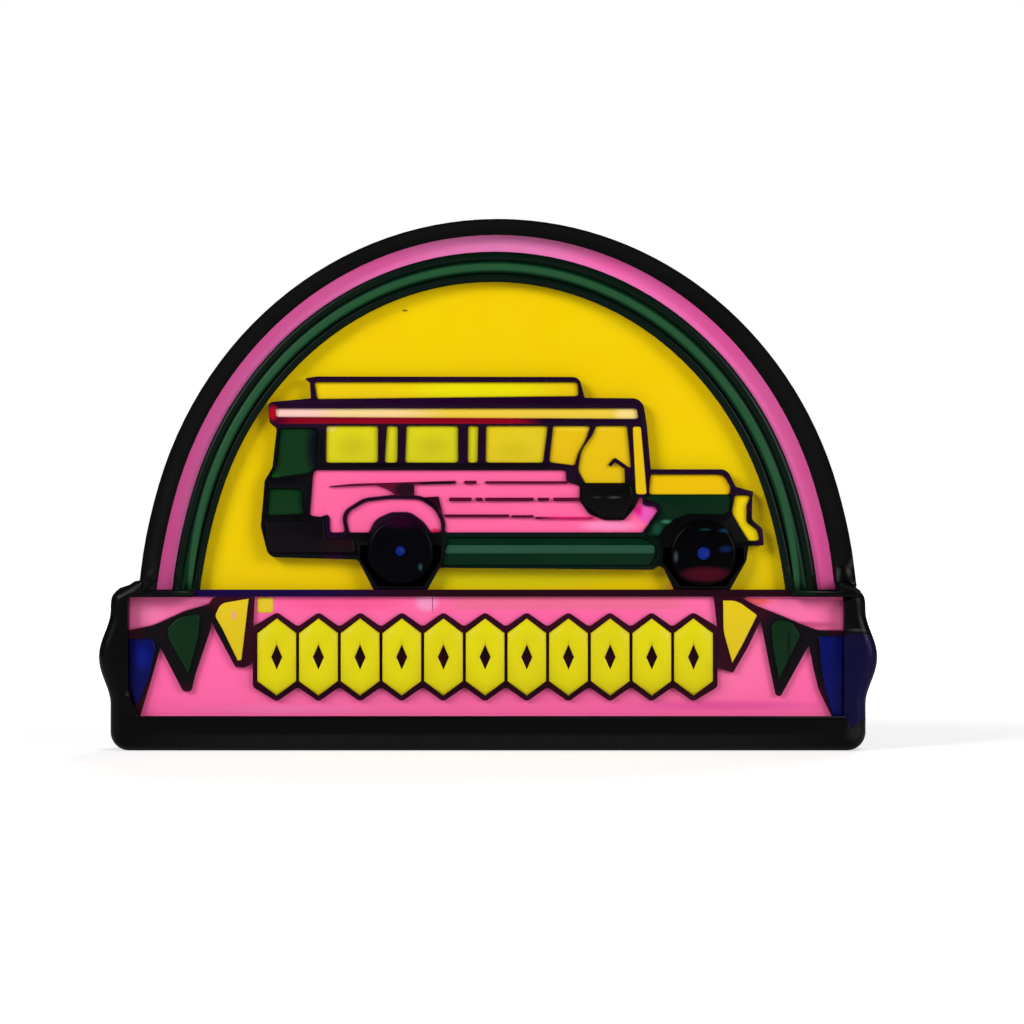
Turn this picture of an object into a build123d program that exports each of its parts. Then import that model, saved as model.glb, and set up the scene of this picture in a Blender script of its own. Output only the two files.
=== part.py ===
# Souvenir fridge magnet in soft PVC: a jeepney in low relief under a rainbow arch, on a base block with bunting.
# Sizes are in mm. X is right, Z is up from the edge that it stands on, and the picture faces -Y.
# Heights are measured from the back of the magnet sheet towards the front.
import os

from build123d import *

os.makedirs("parts", exist_ok=True)

# Outline of the moulding
arch_half_width = 36.4
arch_rise = 39.1
arch_x = 0.6
spring_z = 15.6
base_half_width = 38.8
base_corner = 1.9
bulge_out = 1.2
bulge_z = 9.6
bulge_half_height = 4.3
shoulder_z = 18.1
shoulder_half_width = 36.3
shoulder_drop = 2.0
shoulder_draft = 0.3
shoulder_round = 1.6
bulge_round = 8.0

# Rings of the arch, each as wide as the fill or the wall between two fills
rim_width = 1.85
pink_width = 1.5
pink_wall = 1.15
green_width = 1.1
green_wall = 1.05

# Heights from the back
magnet_proud = 0.2
magnet_thickness = 0.8
floor_h = 2.4
sun_h = 3.4
pink_h = 4.1
green_h = 4.7
wall_h = 4.5
rim_h = 5.4
line_h = 4.6
panel_floor_h = 2.8
panel_h = 4.6
panel_line_h = 5.0
frame_h = 6.2

# Roundings of top edges
rim_round = 0.7
frame_round = 1.2
green_round = 0.45

# Magnet sheet on the back
magnet_margin = 3.2
magnet_corner = 2.0

# Base panel: a pocket in the frame under the ground line
panel_left = -36.9
panel_right = 36.5
panel_low = 3.5
panel_top = 15.8
panel_cut = 2.5
ground_thickness = 0.7
ground_half_width = 30.3
end_left = -23.9
end_right = -22.1
end_low = 14.1
flag_h = 5.3
string_wall = 0.45
flag_wall = 0.7

# Jeepney relief, measured from the road under its tyres
line_wall = 0.5
fender_line = 0.35
rack_low = 19.85
rack_high = 21.3
rack_left = -17.65
rack_right = 9.35
roof_low = 16.9
roof_high = 19.75
roof_left = -22.7
roof_right = 16.4
roof_corner = 0.7
strip_low = 17.7
strip_high = 18.7
strip_left = -21.9
strip_right = 15.6
window_low = 13.05
window_high = 16.85
body_low = 5.8
body_high = 12.3
bonnet_low = 9.8
bonnet_high = 11.85
sill_low = 2.85
sill_high = 5.45
stripe_low = 3.65
stripe_high = 4.6
tyre_radius = 3.45
tyre_h = 5.3
tyre_round = 0.5
hub_h = 5.6
fill_h = 4.3
glass_h = 3.9
skirt_h = 4.9

# Ornament in the base panel
tile_count = 11
tile_width = 3.95
tile_height = 7.9
tile_pitch = 4.28
tile_point = 1.5
tile_hole_width = 1.15
tile_hole_height = 2.6
tile_h = 5.7
tile_round = 0.25
ornament_x = -0.3
ornament_z = 9.6
ornament_wall = 0.55

road_z = panel_top + ground_thickness
shoulder_inside = arch_half_width - 1.0
depth = frame_h


def height_plane(height):
    # a plane across the magnet at a height above its back, with local X right and local Y up
    return Plane.XZ.offset(height - depth / 2)


def save(piece, name):
    piece.part.label = name
    export_step(piece.part, f"parts/{name}.step")


def polygon(points, corner=0.0):
    with BuildSketch() as shape:
        with BuildLine():
            Polyline(*points, close=True)
        make_face()
        if corner:
            fillet(shape.vertices(), corner)
    return shape.sketch


def arch(inset, low_z):
    # the half-ellipse of the arch, this far in from its rim, above a level
    with BuildSketch() as shape:
        with Locations((arch_x, spring_z)):
            Ellipse(arch_half_width - inset, arch_rise - inset)
        with Locations((arch_x, low_z)):
            Rectangle(
                2 * arch_half_width, 2 * arch_rise, align=(Align.CENTER, Align.MIN), mode=Mode.INTERSECT
            )
    return shape.sketch


def base_outline():
    # right half of the base block, from the foot past the bulged side to the shoulder, then mirrored to the left
    with BuildSketch() as shape:
        with BuildLine():
            Polyline(
                (0, 0),
                (base_half_width, 0),
                (base_half_width, bulge_z - bulge_half_height),
                (base_half_width + bulge_out, bulge_z),
                (base_half_width, bulge_z + bulge_half_height),
                (base_half_width - shoulder_draft, shoulder_z - shoulder_drop),
                (shoulder_half_width, shoulder_z),
                (shoulder_inside, shoulder_z),
                (shoulder_inside, road_z),
                (0, road_z),
                close=True,
            )
        make_face()
        foot, bulge_low, bulge, bulge_high, shoulder = (
            shape.vertices().filter_by(lambda corner: corner.X > shoulder_half_width).sort_by(Axis.Y)
        )
        fillet(foot, base_corner)
        fillet([bulge_low, bulge, bulge_high], bulge_round)
        fillet(shoulder, shoulder_round)
        mirror(about=Plane.YZ)
    return shape.sketch


def stroke(x0, z0, x1, z1, width):
    # a straight line of the drawing, with its width
    with BuildSketch() as shape:
        with BuildLine():
            middle = Line((x0, z0), (x1, z1))
        trace(middle, line_width=width)
    return shape.sketch


def grown(shape, amount):
    return offset(shape, amount=amount, kind=Kind.INTERSECTION, mode=Mode.PRIVATE)


def on_road(points):
    return [(x, road_z + z) for x, z in points]


# Outline of the moulding and its pockets
arch_rim = arch(0, panel_top)
pink_outer = arch(rim_width, road_z)
pink_inner = arch(rim_width + pink_width, road_z)
green_outer = arch(rim_width + pink_width + pink_wall, road_z)
green_inner = arch(rim_width + pink_width + pink_wall + green_width, road_z)
sun_edge = arch(rim_width + pink_width + pink_wall + green_width + green_wall, road_z)
base_shape = base_outline()
panel_shape = polygon(
    [
        (panel_left, panel_top),
        (panel_right, panel_top),
        (panel_right, panel_low),
        (panel_left + 0.4 * panel_cut, panel_low),
        (panel_left, panel_low + panel_cut),
    ]
)
with BuildSketch() as ground:
    with Locations((arch_x, panel_top)):
        Rectangle(2 * ground_half_width, ground_thickness, align=(Align.CENTER, Align.MIN))
ground_shape = ground.sketch

# Jeepney: windows between the roof and the belt, each with its left and right edge at the top and at the sill
windows = [
    # name, top left, top right, low left, low right
    ("window_1", -16.75, -11.25, -16.75, -11.25),
    ("window_slat_1", -10.5, -9.25, -10.65, -9.25),
    ("window_2", -8.5, -3.05, -8.5, -3.05),
    ("window_slat_2", -2.15, -1.0, -2.15, -1.0),
    ("window_3", -0.25, 6.25, -0.25, 5.75),
]

rear_hub = (-9.0, 4.0)
front_hub = (22.15, 3.75)
tyre_half_width = 4.15
tyre_foot = 2.35
tyre_low = 0.35

cells = {
    "roof_rack_infill": on_road(
        [(rack_left, rack_high), (rack_right, rack_high), (rack_right + 0.1, rack_low), (rack_left + 0.1, rack_low)]
    ),
    "roof_strip": on_road(
        [(strip_left, strip_high), (strip_right, strip_high), (strip_right + 0.1, strip_low), (strip_left, strip_low)]
    ),
    "rear_panel_upper": on_road(
        [(-21.45, 16.6), (-17.5, 16.65), (-17.6, 12.5), (-18.35, 12.1), (-18.6, 11.95), (-22.5, 11.45), (-21.8, 12.8)]
    ),
    "rear_panel_lower": on_road([(-22.5, 10.4), (-19.6, 10.45), (-19.1, 9.8), (-19.0, 7.6), (-22.7, 7.5)]),
    "rear_skirt": on_road(
        [(-22.75, 7.0), (-18.9, 7.1), (-16.9, 7.3), (-16.75, 5.3), (-13.9, 5.3), (-13.6, 3.9), (-22.5, 3.9)]
    ),
    "window_4": on_road([(6.6, 16.85), (10.5, 16.85), (10.2, 15.7), (9.35, 14.5), (8.9, 13.15), (6.3, 13.05)]),
    "driver_opening": on_road(
        [
            (11.1, 16.85),
            (14.3, 16.85),
            (14.75, 12.5),
            (14.3, 10.85),
            (13.0, 11.05),
            (10.4, 11.0),
            (9.65, 12.0),
            (9.45, 13.1),
            (9.95, 14.4),
            (10.8, 15.7),
        ]
    ),
    "windscreen_pillar": on_road(
        [(14.85, 16.85), (15.75, 16.85), (16.2, 12.8), (16.4, bonnet_low), (15.3, bonnet_low), (15.1, 12.8)]
    ),
    "bonnet": on_road(
        [
            (16.75, bonnet_high),
            (23.6, bonnet_high),
            (24.3, 11.6),
            (24.8, 10.7),
            (24.95, bonnet_low),
            (16.75, bonnet_low),
        ]
    ),
    "nose": on_road(
        [(25.35, 9.65), (26.6, 9.65), (26.6, 7.2), (27.5, 6.45), (27.95, 5.8), (27.95, 5.0), (26.75, 5.0), (26.1, 6.1), (25.2, 7.9)]
    ),
    "step_bowl": on_road(
        [(9.9, 10.5), (14.2, 10.4), (14.75, 9.7), (14.75, 8.5), (13.85, 7.45), (12.0, 7.4), (10.7, 7.95), (9.75, 9.1)]
    ),
    "sill": on_road(
        [(-4.2, sill_high), (16.0, sill_high), (17.3, 4.6), (17.35, 3.5), (16.8, sill_low), (-4.8, sill_low)]
    ),
}
for name, top_left, top_right, low_left, low_right in windows:
    cells[name] = on_road(
        [(top_left, window_high), (top_right, window_high), (low_right, window_low), (low_left, window_low)]
    )
cell_shapes = {name: polygon(points) for name, points in cells.items()}

# Side of the body, with the dark lines that part its boards
board_lines = [
    # left, right, height, width
    (-16.4, -3.3, 10.95, 0.3),
    (-2.45, -1.2, 10.95, 0.3),
    (-0.3, 8.2, 10.95, 0.35),
    (-4.0, -1.7, 9.2, 0.35),
    (-1.3, -0.6, 9.2, 0.35),
    (-0.3, 4.7, 9.2, 0.35),
    (5.1, 9.6, 9.2, 0.35),
    (-4.4, 2.15, 7.6, 0.3),
    (2.4, 4.7, 7.6, 0.3),
    (5.1, 10.8, 7.45, 0.25),
]
fender_outer = polygon(
    on_road(
        [
            (-14.4, body_low),
            (-14.6, 7.4),
            (-14.0, 8.2),
            (-13.0, 8.75),
            (-10.7, 9.1),
            (-8.6, 9.4),
            (-6.6, 9.0),
            (-5.5, 8.1),
            (-4.85, 7.2),
            (-4.75, body_low),
        ]
    )
)
wheel_arch_radius = tyre_radius + line_wall
with BuildSketch() as arch_hole:
    with Locations((rear_hub[0], road_z + rear_hub[1])):
        Circle(wheel_arch_radius)
with BuildSketch() as fender_sketch:
    add(fender_outer)
    add(arch_hole.sketch, mode=Mode.SUBTRACT)
cell_shapes["rear_fender"] = fender_sketch.sketch

body_outline = polygon(
    on_road(
        [
            (-17.9, body_high),
            (8.0, body_high),
            (8.1, 11.2),
            (9.35, 10.95),
            (9.5, 9.3),
            (10.5, 7.7),
            (11.9, 7.1),
            (14.0, 7.1),
            (15.05, 8.4),
            (15.55, 9.5),
            (15.9, 9.5),
            (15.9, 8.8),
            (17.2, 8.5),
            (17.4, 8.15),
            (15.85, body_low),
            (-16.4, body_low),
            (-16.4, 7.8),
            (-17.2, 7.4),
            (-18.35, 7.55),
            (-18.05, 11.6),
        ]
    )
)
with BuildSketch() as body_sketch:
    add(body_outline)
    add(grown(fender_outer, fender_line), mode=Mode.SUBTRACT)
    add(grown(cell_shapes["step_bowl"], fender_line), mode=Mode.SUBTRACT)
    for left, right, height, width in board_lines:
        with Locations(((left + right) / 2, road_z + height)):
            Rectangle(right - left, width, mode=Mode.SUBTRACT)
cell_shapes["side_body"] = body_sketch.sketch

# Front fender with the apron that drops to the sill
with BuildSketch() as front_fender_sketch:
    add(
        polygon(
            on_road(
                [
                    (15.95, bonnet_low),
                    (25.1, bonnet_low),
                    (25.0, 8.0),
                    (24.2, 7.65),
                    (20.7, 7.75),
                    (19.2, 7.2),
                    (18.3, 6.4),
                    (17.7, sill_high),
                    (15.9, sill_high),
                    (17.75, 8.2),
                    (17.4, 8.9),
                    (16.1, 9.2),
                ]
            )
        )
    )
cell_shapes["front_fender"] = front_fender_sketch.sketch

# Tyres with the dark mass around them, and hubs
for name, (hub_x, hub_z), hub_radius in (("rear", rear_hub, 0.5), ("front", front_hub, 0.65)):
    with BuildSketch() as tyre_sketch:
        with Locations((hub_x, road_z + hub_z)):
            Circle(tyre_radius)
            Polygon(
                (-tyre_half_width, 0.6),
                (tyre_half_width, 0.6),
                (tyre_half_width, -0.9),
                (tyre_foot, tyre_low - hub_z),
                (-tyre_foot, tyre_low - hub_z),
                (-tyre_half_width, -0.9),
                align=None,
            )
            Circle(hub_radius, mode=Mode.SUBTRACT)
    cell_shapes[f"tyre_{name}"] = tyre_sketch.sketch
    with BuildSketch() as hub_sketch:
        with Locations((hub_x, road_z + hub_z)):
            Circle(hub_radius)
    cell_shapes[f"hub_{name}"] = hub_sketch.sketch

# Sill, parted by the raised stripe that runs along it
with BuildSketch() as stripe_sketch:
    add(cell_shapes["sill"])
    with Locations((0, road_z + stripe_low)):
        Rectangle(
            2 * arch_half_width, stripe_high - stripe_low, align=(Align.CENTER, Align.MIN), mode=Mode.INTERSECT
        )
with BuildSketch() as sill_sketch:
    add(cell_shapes["sill"])
    add(stripe_sketch.sketch, mode=Mode.SUBTRACT)
cell_shapes["sill_stripe"] = stripe_sketch.sketch
cell_shapes["sill"] = sill_sketch.sketch

# Strokes of the drawing that stand free of its cells, or cross one
strokes = [
    # x and height of each end, width
    (-18.95, 21.6, -17.0, 21.6, 0.5),
    (24.6, 10.6, 27.15, 10.05, 0.4),
    (12.55, 12.8, 13.1, 13.35, 0.35),
    (13.1, 13.35, 14.3, 12.5, 0.4),
    (14.55, 12.7, 14.6, 10.2, 0.7),
]

# The drawing's outer edge: every cell grown by its line, the roof's thicker lines and the strokes, holes closed
with BuildSketch() as silhouette_sketch:
    for shape in cell_shapes.values():
        add(grown(shape, line_wall))
    add(
        polygon(
            on_road(
                [(roof_left, roof_high), (roof_right, roof_high), (roof_right, roof_low), (roof_left, roof_low)]
            ),
            roof_corner,
        )
    )
    for x0, z0, x1, z1, width in strokes:
        add(stroke(x0, road_z + z0, x1, road_z + z1, width))
    add(sun_edge, mode=Mode.INTERSECT)
silhouette = silhouette_sketch.faces().sort_by(SortBy.AREA)[-1].without_holes()

with BuildSketch() as strokes_sketch:
    for x0, z0, x1, z1, width in strokes:
        add(stroke(x0, road_z + z0, x1, road_z + z1, width))
with BuildSketch() as opening_sketch:
    add(cell_shapes["driver_opening"])
    add(strokes_sketch.sketch, mode=Mode.SUBTRACT)
cell_shapes["driver_opening"] = opening_sketch.faces().sort_by(SortBy.AREA)[-1]

with BuildSketch() as line_sketch:
    add(silhouette)
    for shape in cell_shapes.values():
        add(shape, mode=Mode.SUBTRACT)
with BuildSketch() as sun_sketch:
    add(sun_edge)
    add(silhouette, mode=Mode.SUBTRACT)

# Base panel: corners above the bunting strings, flags below them
corners = {
    "corner_left": [
        (panel_left, panel_top),
        (-28.3, panel_top),
        (-28.55, 15.15),
        (-29.4, 14.75),
        (-31.1, 14.3),
        (-33.0, 13.55),
        (-35.0, 12.75),
        (panel_left, 12.35),
    ],
    "corner_right": [
        (panel_right, panel_top - 0.3),
        (26.2, panel_top),
        (27.6, 14.9),
        (29.55, 14.1),
        (32.15, 13.2),
        (34.1, 12.5),
        (panel_right, 12.35),
    ],
}
flags = {
    "flag_green_left": [(-32.9, 12.6), (-32.1, 13.35), (-29.7, 13.9), (-29.5, 13.5), (-30.8, 7.9), (-32.9, 11.8)],
    "flag_blue_left": [
        (panel_left, 11.4),
        (-34.5, 11.4),
        (-34.0, 10.7),
        (-34.6, 8.5),
        (-35.1, 6.6),
        (-36.3, 4.2),
        (panel_left, 7.2),
    ],
    "flag_yellow_left": [
        (-28.0, 14.0),
        (-27.2, 15.1),
        (-26.1, 15.4),
        (-24.55, 15.5),
        (-25.35, 9.4),
        (-25.75, 9.3),
        (-27.1, 12.4),
    ],
    "flag_yellow_right": [
        (24.1, 15.2),
        (25.1, 15.25),
        (26.5, 14.6),
        (27.5, 13.8),
        (26.7, 12.0),
        (25.5, 9.8),
        (25.05, 9.1),
        (24.3, 12.0),
    ],
    "flag_green_right": [
        (29.1, 12.45),
        (29.6, 13.1),
        (30.6, 13.0),
        (31.8, 12.1),
        (31.9, 11.3),
        (31.3, 10.0),
        (30.0, 7.3),
        (29.5, 10.0),
    ],
    "flag_blue_right": [
        (34.1, 11.6),
        (panel_right, 11.6),
        (panel_right, panel_low),
        (35.85, panel_low),
        (34.9, 6.3),
        (34.4, 8.85),
    ],
}
corner_shapes = {name: polygon(points) for name, points in corners.items()}
flag_shapes = {}
for name, points in flags.items():
    with BuildSketch() as flag_sketch:
        add(polygon(points))
        add(panel_shape, mode=Mode.INTERSECT)
    flag_shapes[name] = flag_sketch.sketch
navy_shape = polygon([(37.0, 12.0), (38.9, 12.0), (38.9, 3.6), (37.0, 2.3)])

# Dark gaps between a yellow flag and the ornament
panel_strokes = [
    # x and height of each end, width
    (-24.45, 15.5, -24.75, 8.9, 1.0),
    (23.75, 15.5, 24.3, 8.6, 1.0),
]

# Ornament: a row of pointed tiles, each with a diamond hole, in one dark surround
half_wide = tile_width / 2
half_high = tile_height / 2
tile_rim = polygon(
    [
        (0, half_high),
        (half_wide, half_high - tile_point),
        (half_wide, tile_point - half_high),
        (0, -half_high),
        (-half_wide, tile_point - half_high),
        (-half_wide, half_high - tile_point),
    ]
)
tile_hole = polygon([(0, tile_hole_height / 2), (tile_hole_width / 2, 0), (0, -tile_hole_height / 2), (-tile_hole_width / 2, 0)])
with BuildSketch() as surround_sketch:
    with Locations((ornament_x, ornament_z)):
        with GridLocations(tile_pitch, 0, tile_count, 1):
            add(grown(tile_rim, ornament_wall))
with BuildSketch() as tiles_sketch:
    with Locations((ornament_x, ornament_z)):
        with GridLocations(tile_pitch, 0, tile_count, 1):
            add(tile_rim)
            add(tile_hole, mode=Mode.SUBTRACT)

# Pink of the panel: what the flags, the strings and the ornament leave, below and above the ornament
with BuildSketch() as pink_sketch:
    add(panel_shape)
    add(surround_sketch.sketch, mode=Mode.SUBTRACT)
    for shape in flag_shapes.values():
        add(grown(shape, flag_wall), mode=Mode.SUBTRACT)
    for shape in corner_shapes.values():
        add(grown(shape, string_wall), mode=Mode.SUBTRACT)
    for x0, z0, x1, z1, width in panel_strokes:
        add(stroke(x0, z0, x1, z1, width), mode=Mode.SUBTRACT)
pink_low, pink_top = pink_sketch.faces().sort_by(SortBy.AREA)[-1:-3:-1]
end_shape = polygon(
    [(end_left, panel_top), (end_right, panel_top), (end_right, end_low), (end_left, end_low)]
)
with BuildSketch() as end_sketch:
    add(pink_top)
    add(end_shape, mode=Mode.INTERSECT)
with BuildSketch() as top_sketch:
    add(pink_top)
    add(end_shape, mode=Mode.SUBTRACT)
with BuildSketch() as panel_line_sketch:
    add(panel_shape)
    add(pink_low, mode=Mode.SUBTRACT)
    add(pink_top, mode=Mode.SUBTRACT)
    add(tiles_sketch.sketch, mode=Mode.SUBTRACT)
    for shape in (corner_shapes | flag_shapes).values():
        add(shape, mode=Mode.SUBTRACT)

# Black moulding: backing plate, arch rim, walls between the bands, base block with its pocket and sheet recess
with BuildPart() as block:
    with BuildSketch(height_plane(magnet_proud)):
        add(base_shape)
    extrude(amount=frame_h - magnet_proud)
    outer_edges = block.faces().sort_by(Axis.Y)[0].edges().filter_by(
        lambda edge: edge.center().Z < panel_top or abs(edge.center().X) > shoulder_half_width
    )
    fillet(outer_edges, frame_round)
    with BuildSketch(height_plane(panel_floor_h)):
        add(panel_shape)
        add(ground_shape)
    extrude(amount=frame_h - panel_floor_h, mode=Mode.SUBTRACT)

with BuildPart() as rim:
    with BuildSketch(height_plane(magnet_proud)):
        add(arch_rim)
    extrude(amount=rim_h - magnet_proud)
    fillet(rim.faces().sort_by(Axis.Y)[0].edges().sort_by(SortBy.LENGTH)[-1:], rim_round)
    with BuildSketch(height_plane(floor_h)):
        add(arch(rim_width, panel_top))
    extrude(amount=rim_h - floor_h, mode=Mode.SUBTRACT)
    with BuildSketch(height_plane(floor_h)):
        add(pink_inner)
        add(green_outer, mode=Mode.SUBTRACT)
        add(green_inner)
        add(sun_edge, mode=Mode.SUBTRACT)
    extrude(amount=wall_h - floor_h)

with BuildPart() as moulding_blank:
    add(block.part)
    add(rim.part)

with BuildPart() as navy_prism:
    with BuildSketch(height_plane(panel_floor_h)):
        add(navy_shape)
    extrude(amount=frame_h - panel_floor_h)

sheet_half_width = arch_half_width - magnet_margin
with BuildSketch() as sheet_sketch:
    add(arch(magnet_margin, spring_z))
    with Locations((arch_x, magnet_margin)):
        Rectangle(2 * sheet_half_width, spring_z - magnet_margin, align=(Align.CENTER, Align.MIN))
    fillet(sheet_sketch.vertices().group_by(Axis.Y)[0], magnet_corner)

with BuildPart() as magnet_sheet:
    with BuildSketch(height_plane(0)):
        add(sheet_sketch.sketch)
    extrude(amount=magnet_thickness)
save(magnet_sheet, "magnet_sheet")

with BuildPart() as black_moulding:
    add(moulding_blank.part)
    add(navy_prism.part, mode=Mode.SUBTRACT)
    add(magnet_sheet.part, mode=Mode.SUBTRACT)
save(black_moulding, "black_moulding")

with BuildPart() as flag_navy_right:
    add(moulding_blank.part)
    add(navy_prism.part, mode=Mode.INTERSECT)
save(flag_navy_right, "flag_navy_right")

# Arch fills
with BuildPart() as arch_band_pink:
    with BuildSketch(height_plane(floor_h)):
        add(pink_outer)
        add(pink_inner, mode=Mode.SUBTRACT)
    extrude(amount=pink_h - floor_h)
save(arch_band_pink, "arch_band_pink")

with BuildPart() as arch_band_green:
    with BuildSketch(height_plane(floor_h)):
        add(green_outer)
        add(green_inner, mode=Mode.SUBTRACT)
    extrude(amount=green_h - floor_h)
    crown = arch_band_green.faces().sort_by(Axis.Y)[0].edges().sort_by(SortBy.LENGTH)[-2:]
    fillet(crown, green_round)
save(arch_band_green, "arch_band_green")

# Flat fills of the sun, the jeepney and the base panel, each from its floor to its own height
flat_pieces = [
    # name, outline, floor, height
    ("sun_field", sun_sketch.sketch, floor_h, sun_h),
    ("ground_line", ground_shape, panel_floor_h, panel_line_h),
    ("jeepney_lines", line_sketch.sketch, floor_h, line_h),
    ("panel_lines", panel_line_sketch.sketch, panel_floor_h, panel_line_h),
    ("panel_lower", pink_low, panel_floor_h, panel_h),
    ("panel_top", top_sketch.sketch, panel_floor_h, panel_h),
    ("panel_end", end_sketch.sketch, panel_floor_h, panel_h),
]
flat_pieces += [(name, shape, panel_floor_h, panel_h) for name, shape in corner_shapes.items()]
flat_pieces += [(name, shape, panel_floor_h, flag_h) for name, shape in flag_shapes.items()]
special_heights = {"rear_skirt": skirt_h, "step_bowl": skirt_h}
for name, shape in cell_shapes.items():
    if name.startswith(("tyre", "hub")):
        continue
    top = glass_h if name.startswith(("window", "driver")) else special_heights.get(name, fill_h)
    flat_pieces.append((name, shape, floor_h, top))

for name, shape, floor, top in flat_pieces:
    with BuildPart() as piece:
        with BuildSketch(height_plane(floor)):
            add(shape)
        extrude(amount=top - floor)
    save(piece, name)

with BuildPart() as ornament_tiles:
    with BuildSketch(height_plane(panel_floor_h)):
        add(tiles_sketch.sketch)
    extrude(amount=tile_h - panel_floor_h)
    chamfer(ornament_tiles.faces().filter_by(Plane.XZ).group_by(Axis.Y)[0].edges(), tile_round)
save(ornament_tiles, "ornament_tiles")

for side, (hub_x, hub_z) in (("rear", rear_hub), ("front", front_hub)):
    with BuildPart() as tyre:
        with BuildSketch(height_plane(floor_h)):
            add(cell_shapes[f"tyre_{side}"])
        extrude(amount=line_h - floor_h)
        with BuildSketch(height_plane(line_h)):
            with Locations((hub_x, road_z + hub_z)):
                Circle(tyre_radius)
        extrude(amount=tyre_h - line_h)
        fillet(tyre.faces().sort_by(Axis.Y)[0].edges(), tyre_round)
        with BuildSketch(height_plane(floor_h)):
            add(cell_shapes[f"hub_{side}"])
        extrude(amount=tyre_h - floor_h, mode=Mode.SUBTRACT)
    save(tyre, f"tyre_{side}")
    with BuildPart() as hub:
        with BuildSketch(height_plane(floor_h)):
            add(cell_shapes[f"hub_{side}"])
        extrude(amount=hub_h - floor_h)
    save(hub, f"hub_{side}")
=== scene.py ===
# Souvenir fridge magnet of moulded soft PVC: a jeepney in low relief under a rainbow arch, on a base block
# with bunting and a row of tiles
from math import atan2, cos, hypot, pi, radians, sin, tan

import bmesh
import bpy
from mathutils import Matrix, Vector


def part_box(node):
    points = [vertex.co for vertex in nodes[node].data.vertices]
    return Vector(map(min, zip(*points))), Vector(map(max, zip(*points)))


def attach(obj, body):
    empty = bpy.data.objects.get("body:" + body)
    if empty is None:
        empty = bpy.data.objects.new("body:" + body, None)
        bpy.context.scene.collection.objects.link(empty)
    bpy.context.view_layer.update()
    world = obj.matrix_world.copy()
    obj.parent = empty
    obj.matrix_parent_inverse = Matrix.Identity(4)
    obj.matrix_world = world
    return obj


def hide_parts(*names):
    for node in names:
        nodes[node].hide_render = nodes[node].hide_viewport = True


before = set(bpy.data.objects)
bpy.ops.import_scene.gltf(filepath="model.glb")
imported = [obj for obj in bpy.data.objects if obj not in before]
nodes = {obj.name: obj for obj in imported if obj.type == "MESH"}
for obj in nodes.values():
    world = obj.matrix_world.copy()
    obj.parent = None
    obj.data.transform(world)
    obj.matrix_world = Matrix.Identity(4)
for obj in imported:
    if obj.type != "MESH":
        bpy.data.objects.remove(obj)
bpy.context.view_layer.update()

mm = 0.001  # one millimetre, in the scene's metres


def linearColour(hexColour):
    # sRGB hex to the linear colour that a shader takes
    channels = [int(hexColour[i:i + 2], 16) / 255 for i in (1, 3, 5)]
    return [c / 12.92 if c <= 0.04045 else ((c + 0.055) / 1.055) ** 2.4 for c in channels] + [1.0]


def addNode(material, kind, settings=None, links=None):
    # settings name an input socket or one of the node's own values; links give the socket that feeds an input
    node = material.node_tree.nodes.new(kind)
    for name, value in (settings or {}).items():
        if not isinstance(name, int) and hasattr(node, name):
            setattr(node, name, value)
    for name, value in (settings or {}).items():
        if isinstance(name, int) or not hasattr(node, name):
            node.inputs[name].default_value = value
    for name, source in (links or {}).items():
        material.node_tree.links.new(source, node.inputs[name])
    return node


def clearNodes(owner):
    # owner is a new material or world, which starts here without nodes
    owner.use_nodes = True
    owner.node_tree.nodes.clear()
    return owner


def inScene(name, data):
    thing = bpy.data.objects.new(name, data)
    bpy.context.scene.collection.objects.link(thing)
    return thing


# Camera: level, square to the picture, far enough away to flatten the relief as the photograph does
view = {
    "centreX": 2.46,        # mm, what stands at the middle of the frame
    "centreZ": 24.5,
    "frameWidth": 104.9,    # mm across the frame at the front of the magnet
    "lens": 120,            # mm
    "sensor": 36,
    "frontY": -3.1,         # mm, front of the base block
    "clipNear": 5,
    "clipFar": 20000,
}
cameraData = bpy.data.cameras.new("studioCamera")
cameraData.lens = view["lens"]
cameraData.sensor_width = view["sensor"]
cameraData.clip_start = view["clipNear"] * mm
cameraData.clip_end = view["clipFar"] * mm
camera = inScene("studioCamera", cameraData)
cameraDistance = view["lens"] * view["frameWidth"] / view["sensor"]
camera.location = (view["centreX"] * mm, (view["frontY"] - cameraDistance) * mm, view["centreZ"] * mm)
camera.rotation_euler = (pi / 2, 0, 0)
bpy.context.scene.camera = camera
print("camera:", round(cameraDistance), "mm from the front")


# Soft PVC: poured into a metal mould as a coloured paste and baked, so colours meet in crisp lines and bleed
# a little into each other, the skin is semi-glossy with a faint orange peel, and each pour drifts in shade
pvcFinish = {
    "ior": 1.5,
    "specular": 0.1,        # the matting agent in the paste keeps the shine low
    "roughness": 0.34,
    "roughnessDrift": 0.07,
    "smudgeSize": 5.0,      # mm, patches that are a little duller
    "driftSize": 14.0,      # mm, slow change of shade within a pour
    "peelSize": 0.45,       # mm, ripple of the orange peel
    "peelDepth": 0.004,     # mm
    "sagSize": 7.0,         # mm, slow waviness of the cured skin
    "sagDepth": 0.05,       # mm
    "driftRange": (0.35, 0.65),  # of the noise, what lies outside is wholly one shade or the other
    "smudgeRange": (0.3, 0.7),
    "details": {"driftSize": 2.0, "smudgeSize": 3.0, "sagSize": 0.0, "peelSize": 1.0},  # octaves
}


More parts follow.
